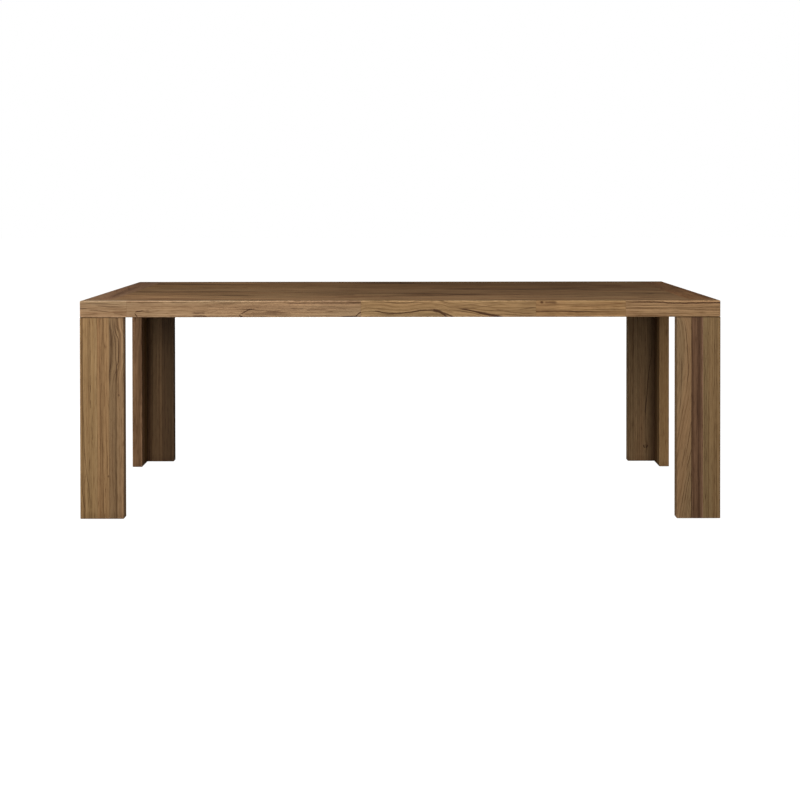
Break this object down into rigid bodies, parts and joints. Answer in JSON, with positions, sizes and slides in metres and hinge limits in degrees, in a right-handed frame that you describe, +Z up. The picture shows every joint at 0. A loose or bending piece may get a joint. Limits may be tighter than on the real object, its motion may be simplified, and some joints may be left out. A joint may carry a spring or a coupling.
{
  "type": "dining table",
  "caption": "Rectangular parsons dining table in brown wood: thick framed plank top on L-shaped corner legs flush with its edges, with levelling feet inside the legs.",
  "frame": {"origin": "on the floor, under the middle of the table", "axes": "+X along the length, to the right seen from the front; +Y from front to back; +Z up"},
  "size_m": [2.2, 1, 0.75],
  "materials": {
    "teak_top": "satin oiled brown wood",
    "teak_legs": "satin oiled brown wood",
    "hidden_wood": "bare planed wood",
    "steel": "zinc plated",
    "brass": "turned",
    "nylon": "moulded matte"
  },
  "bodies": {
    "table": {"back_rail_1": "teak_top", "back_rail_2": "teak_top", "batten_screws": "steel", "block_screws": "steel", "field_plank_1": "teak_top", "field_plank_2": "teak_top", "field_plank_3": "teak_top", "field_plank_4": "teak_top", "field_plank_5": "teak_top", "foot_inserts": "brass", "frame_dowels": "hidden_wood", "front_left_corner_block": "hidden_wood", "front_left_face_inner_stave": "teak_legs", "front_left_face_middle_stave": "teak_legs", "front_left_face_outer_stave": "teak_legs", "front_left_side_inner_stave": "teak_legs", "front_left_side_middle_stave": "teak_legs", "front_left_side_outer_stave": "teak_legs", "front_rail_1": "teak_top", "front_rail_2": "teak_top", "front_rail_3": "teak_top", "front_rail_4": "teak_top", "front_rail_5": "teak_top", "front_right_corner_block": "hidden_wood", "front_right_face_inner_stave": "teak_legs", "front_right_face_middle_stave": "teak_legs", "front_right_face_outer_stave": "teak_legs", "front_right_side_inner_stave": "teak_legs", "front_right_side_middle_stave": "teak_legs", "front_right_side_outer_stave": "teak_legs", "left_batten": "hidden_wood", "left_end_cap": "teak_top", "leg_bolts": "steel", "leg_splines": "hidden_wood", "middle_batten": "hidden_wood", "rear_left_corner_block": "hidden_wood", "rear_left_face_inner_stave": "teak_legs", "rear_left_face_middle_stave": "teak_legs", "rear_left_face_outer_stave": "teak_legs", "rear_left_side_inner_stave": "teak_legs", "rear_left_side_middle_stave": "teak_legs", "rear_left_side_outer_stave": "teak_legs", "rear_right_corner_block": "hidden_wood", "rear_right_face_inner_stave": "teak_legs", "rear_right_face_middle_stave": "teak_legs", "rear_right_face_outer_stave": "teak_legs", "rear_right_side_inner_stave": "teak_legs", "rear_right_side_middle_stave": "teak_legs", "rear_right_side_outer_stave": "teak_legs", "right_batten": "hidden_wood", "right_end_cap": "teak_top", "top_inserts": "brass"},
    "front_left_pad": {"front_left_foot_pad": "nylon"},
    "front_left_stem": {"front_left_foot_stem": "steel"},
    "front_right_pad": {"front_right_foot_pad": "nylon"},
    "front_right_stem": {"front_right_foot_stem": "steel"},
    "rear_left_pad": {"rear_left_foot_pad": "nylon"},
    "rear_left_stem": {"rear_left_foot_stem": "steel"},
    "rear_right_pad": {"rear_right_foot_pad": "nylon"},
    "rear_right_stem": {"rear_right_foot_stem": "steel"}
  },
  "joints": [
    {"name": "front_left_foot_slide", "type": "slide", "parent": "table", "child": "front_left_pad", "axis": [0, 0, -1], "range_m": [0, 0.01]},
    {"name": "front_left_stem_turn", "type": "hinge", "parent": "front_left_pad", "child": "front_left_stem", "pos_m": [-1.02, -0.48, 0.02], "axis": [0, 0, -1], "range_deg": [0, 2880]},
    {"name": "front_right_foot_slide", "type": "slide", "parent": "table", "child": "front_right_pad", "axis": [0, 0, -1], "range_m": [0, 0.01]},
    {"name": "front_right_stem_turn", "type": "hinge", "parent": "front_right_pad", "child": "front_right_stem", "pos_m": [1.02, -0.48, 0.02], "axis": [0, 0, -1], "range_deg": [0, 2880]},
    {"name": "rear_left_foot_slide", "type": "slide", "parent": "table", "child": "rear_left_pad", "axis": [0, 0, -1], "range_m": [0, 0.01]},
    {"name": "rear_left_stem_turn", "type": "hinge", "parent": "rear_left_pad", "child": "rear_left_stem", "pos_m": [-1.02, 0.48, 0.02], "axis": [0, 0, -1], "range_deg": [0, 2880]},
    {"name": "rear_right_foot_slide", "type": "slide", "parent": "table", "child": "rear_right_pad", "axis": [0, 0, -1], "range_m": [0, 0.01]},
    {"name": "rear_right_stem_turn", "type": "hinge", "parent": "rear_right_pad", "child": "rear_right_stem", "pos_m": [1.02, 0.48, 0.02], "axis": [0, 0, -1], "range_deg": [0, 2880]}
  ],
  "couplings": [
    {"joint": "front_left_foot_slide", "follows": "front_left_stem_turn", "m_per_rad": 0.00019894},
    {"joint": "front_right_foot_slide", "follows": "front_right_stem_turn", "m_per_rad": 0.00019894},
    {"joint": "rear_left_foot_slide", "follows": "rear_left_stem_turn", "m_per_rad": 0.00019894},
    {"joint": "rear_right_foot_slide", "follows": "rear_right_stem_turn", "m_per_rad": 0.00019894}
  ]
}
